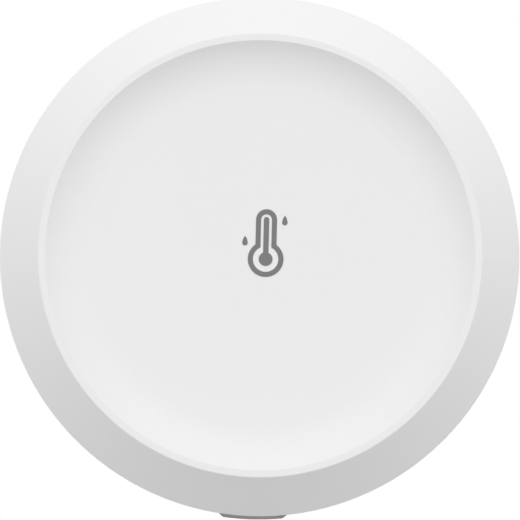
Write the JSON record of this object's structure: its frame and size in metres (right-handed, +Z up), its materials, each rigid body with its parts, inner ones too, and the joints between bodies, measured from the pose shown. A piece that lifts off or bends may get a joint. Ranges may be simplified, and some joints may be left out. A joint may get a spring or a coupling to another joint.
{
  "type": "temperature humidity sensor",
  "caption": "Round white wall sensor for temperature and humidity with a bevelled rim, a dished face, a thermometer pictogram, a pairing key below and a pull-off wall base.",
  "frame": {"origin": "centre of the adhesive pad's rear face, where the sensor meets the wall", "axes": "+Y into the wall, so the face looks towards -Y; +Z up; +X to the right seen from the front"},
  "size_m": [0.065, 0.0211, 0.0653],
  "materials": {
    "case_white": "matte",
    "key_grey": "matte",
    "print_grey": "matte",
    "filter_grey": "matte",
    "board_green": "satin",
    "tray_white": "matte",
    "screw_steel": "satin",
    "cell_metal": "satin",
    "cell_film": "gloss",
    "contact_nickel": "satin",
    "radio_blue": "satin",
    "shield_tin": "satin",
    "aerial_copper": "satin",
    "chip_black": "satin",
    "membrane_white": "matte",
    "switch_black": "satin",
    "light_milky": "gloss",
    "capacitor_tan": "satin",
    "can_aluminium": "satin",
    "base_white": "matte",
    "pad_foam": "matte"
  },
  "bodies": {
    "base": {"base_plate": "base_white", "adhesive_pad": "pad_foam"},
    "head": {"front_case": "case_white", "printed_pictogram": "print_grey", "filter_left": "filter_grey", "filter_right": "filter_grey", "circuit_board": "board_green", "battery_tray": "tray_white", "tray_screws": "screw_steel", "cell_upper": "cell_metal", "cell_upper_sleeve": "cell_film", "cell_lower": "cell_metal", "cell_lower_sleeve": "cell_film", "spring_left": "contact_nickel", "spring_right": "contact_nickel", "contact_positive": "contact_nickel", "contact_negative": "contact_nickel", "contact_link": "contact_nickel", "radio_board": "radio_blue", "radio_shield": "shield_tin", "radio_aerial": "aerial_copper", "sensor_chip": "chip_black", "sensor_membrane": "membrane_white", "switch_body": "switch_black", "status_light": "light_milky", "crystal": "shield_tin", "memory_chip": "chip_black", "small_capacitors": "capacitor_tan", "small_resistors": "chip_black", "can_capacitor": "can_aluminium", "can_capacitor_foot": "chip_black"},
    "key": {"pairing_key": "key_grey", "switch_plunger": "switch_black"}
  },
  "joints": [
    {"name": "head_release", "type": "slide", "parent": "base", "child": "head", "axis": [0, -1, 0], "range_m": [0, 0.03]},
    {"name": "key_press", "type": "slide", "parent": "head", "child": "key", "axis": [0, 0, 1], "range_m": [0, 0.0004], "stiffness_N_per_m": 1500}
  ]
}
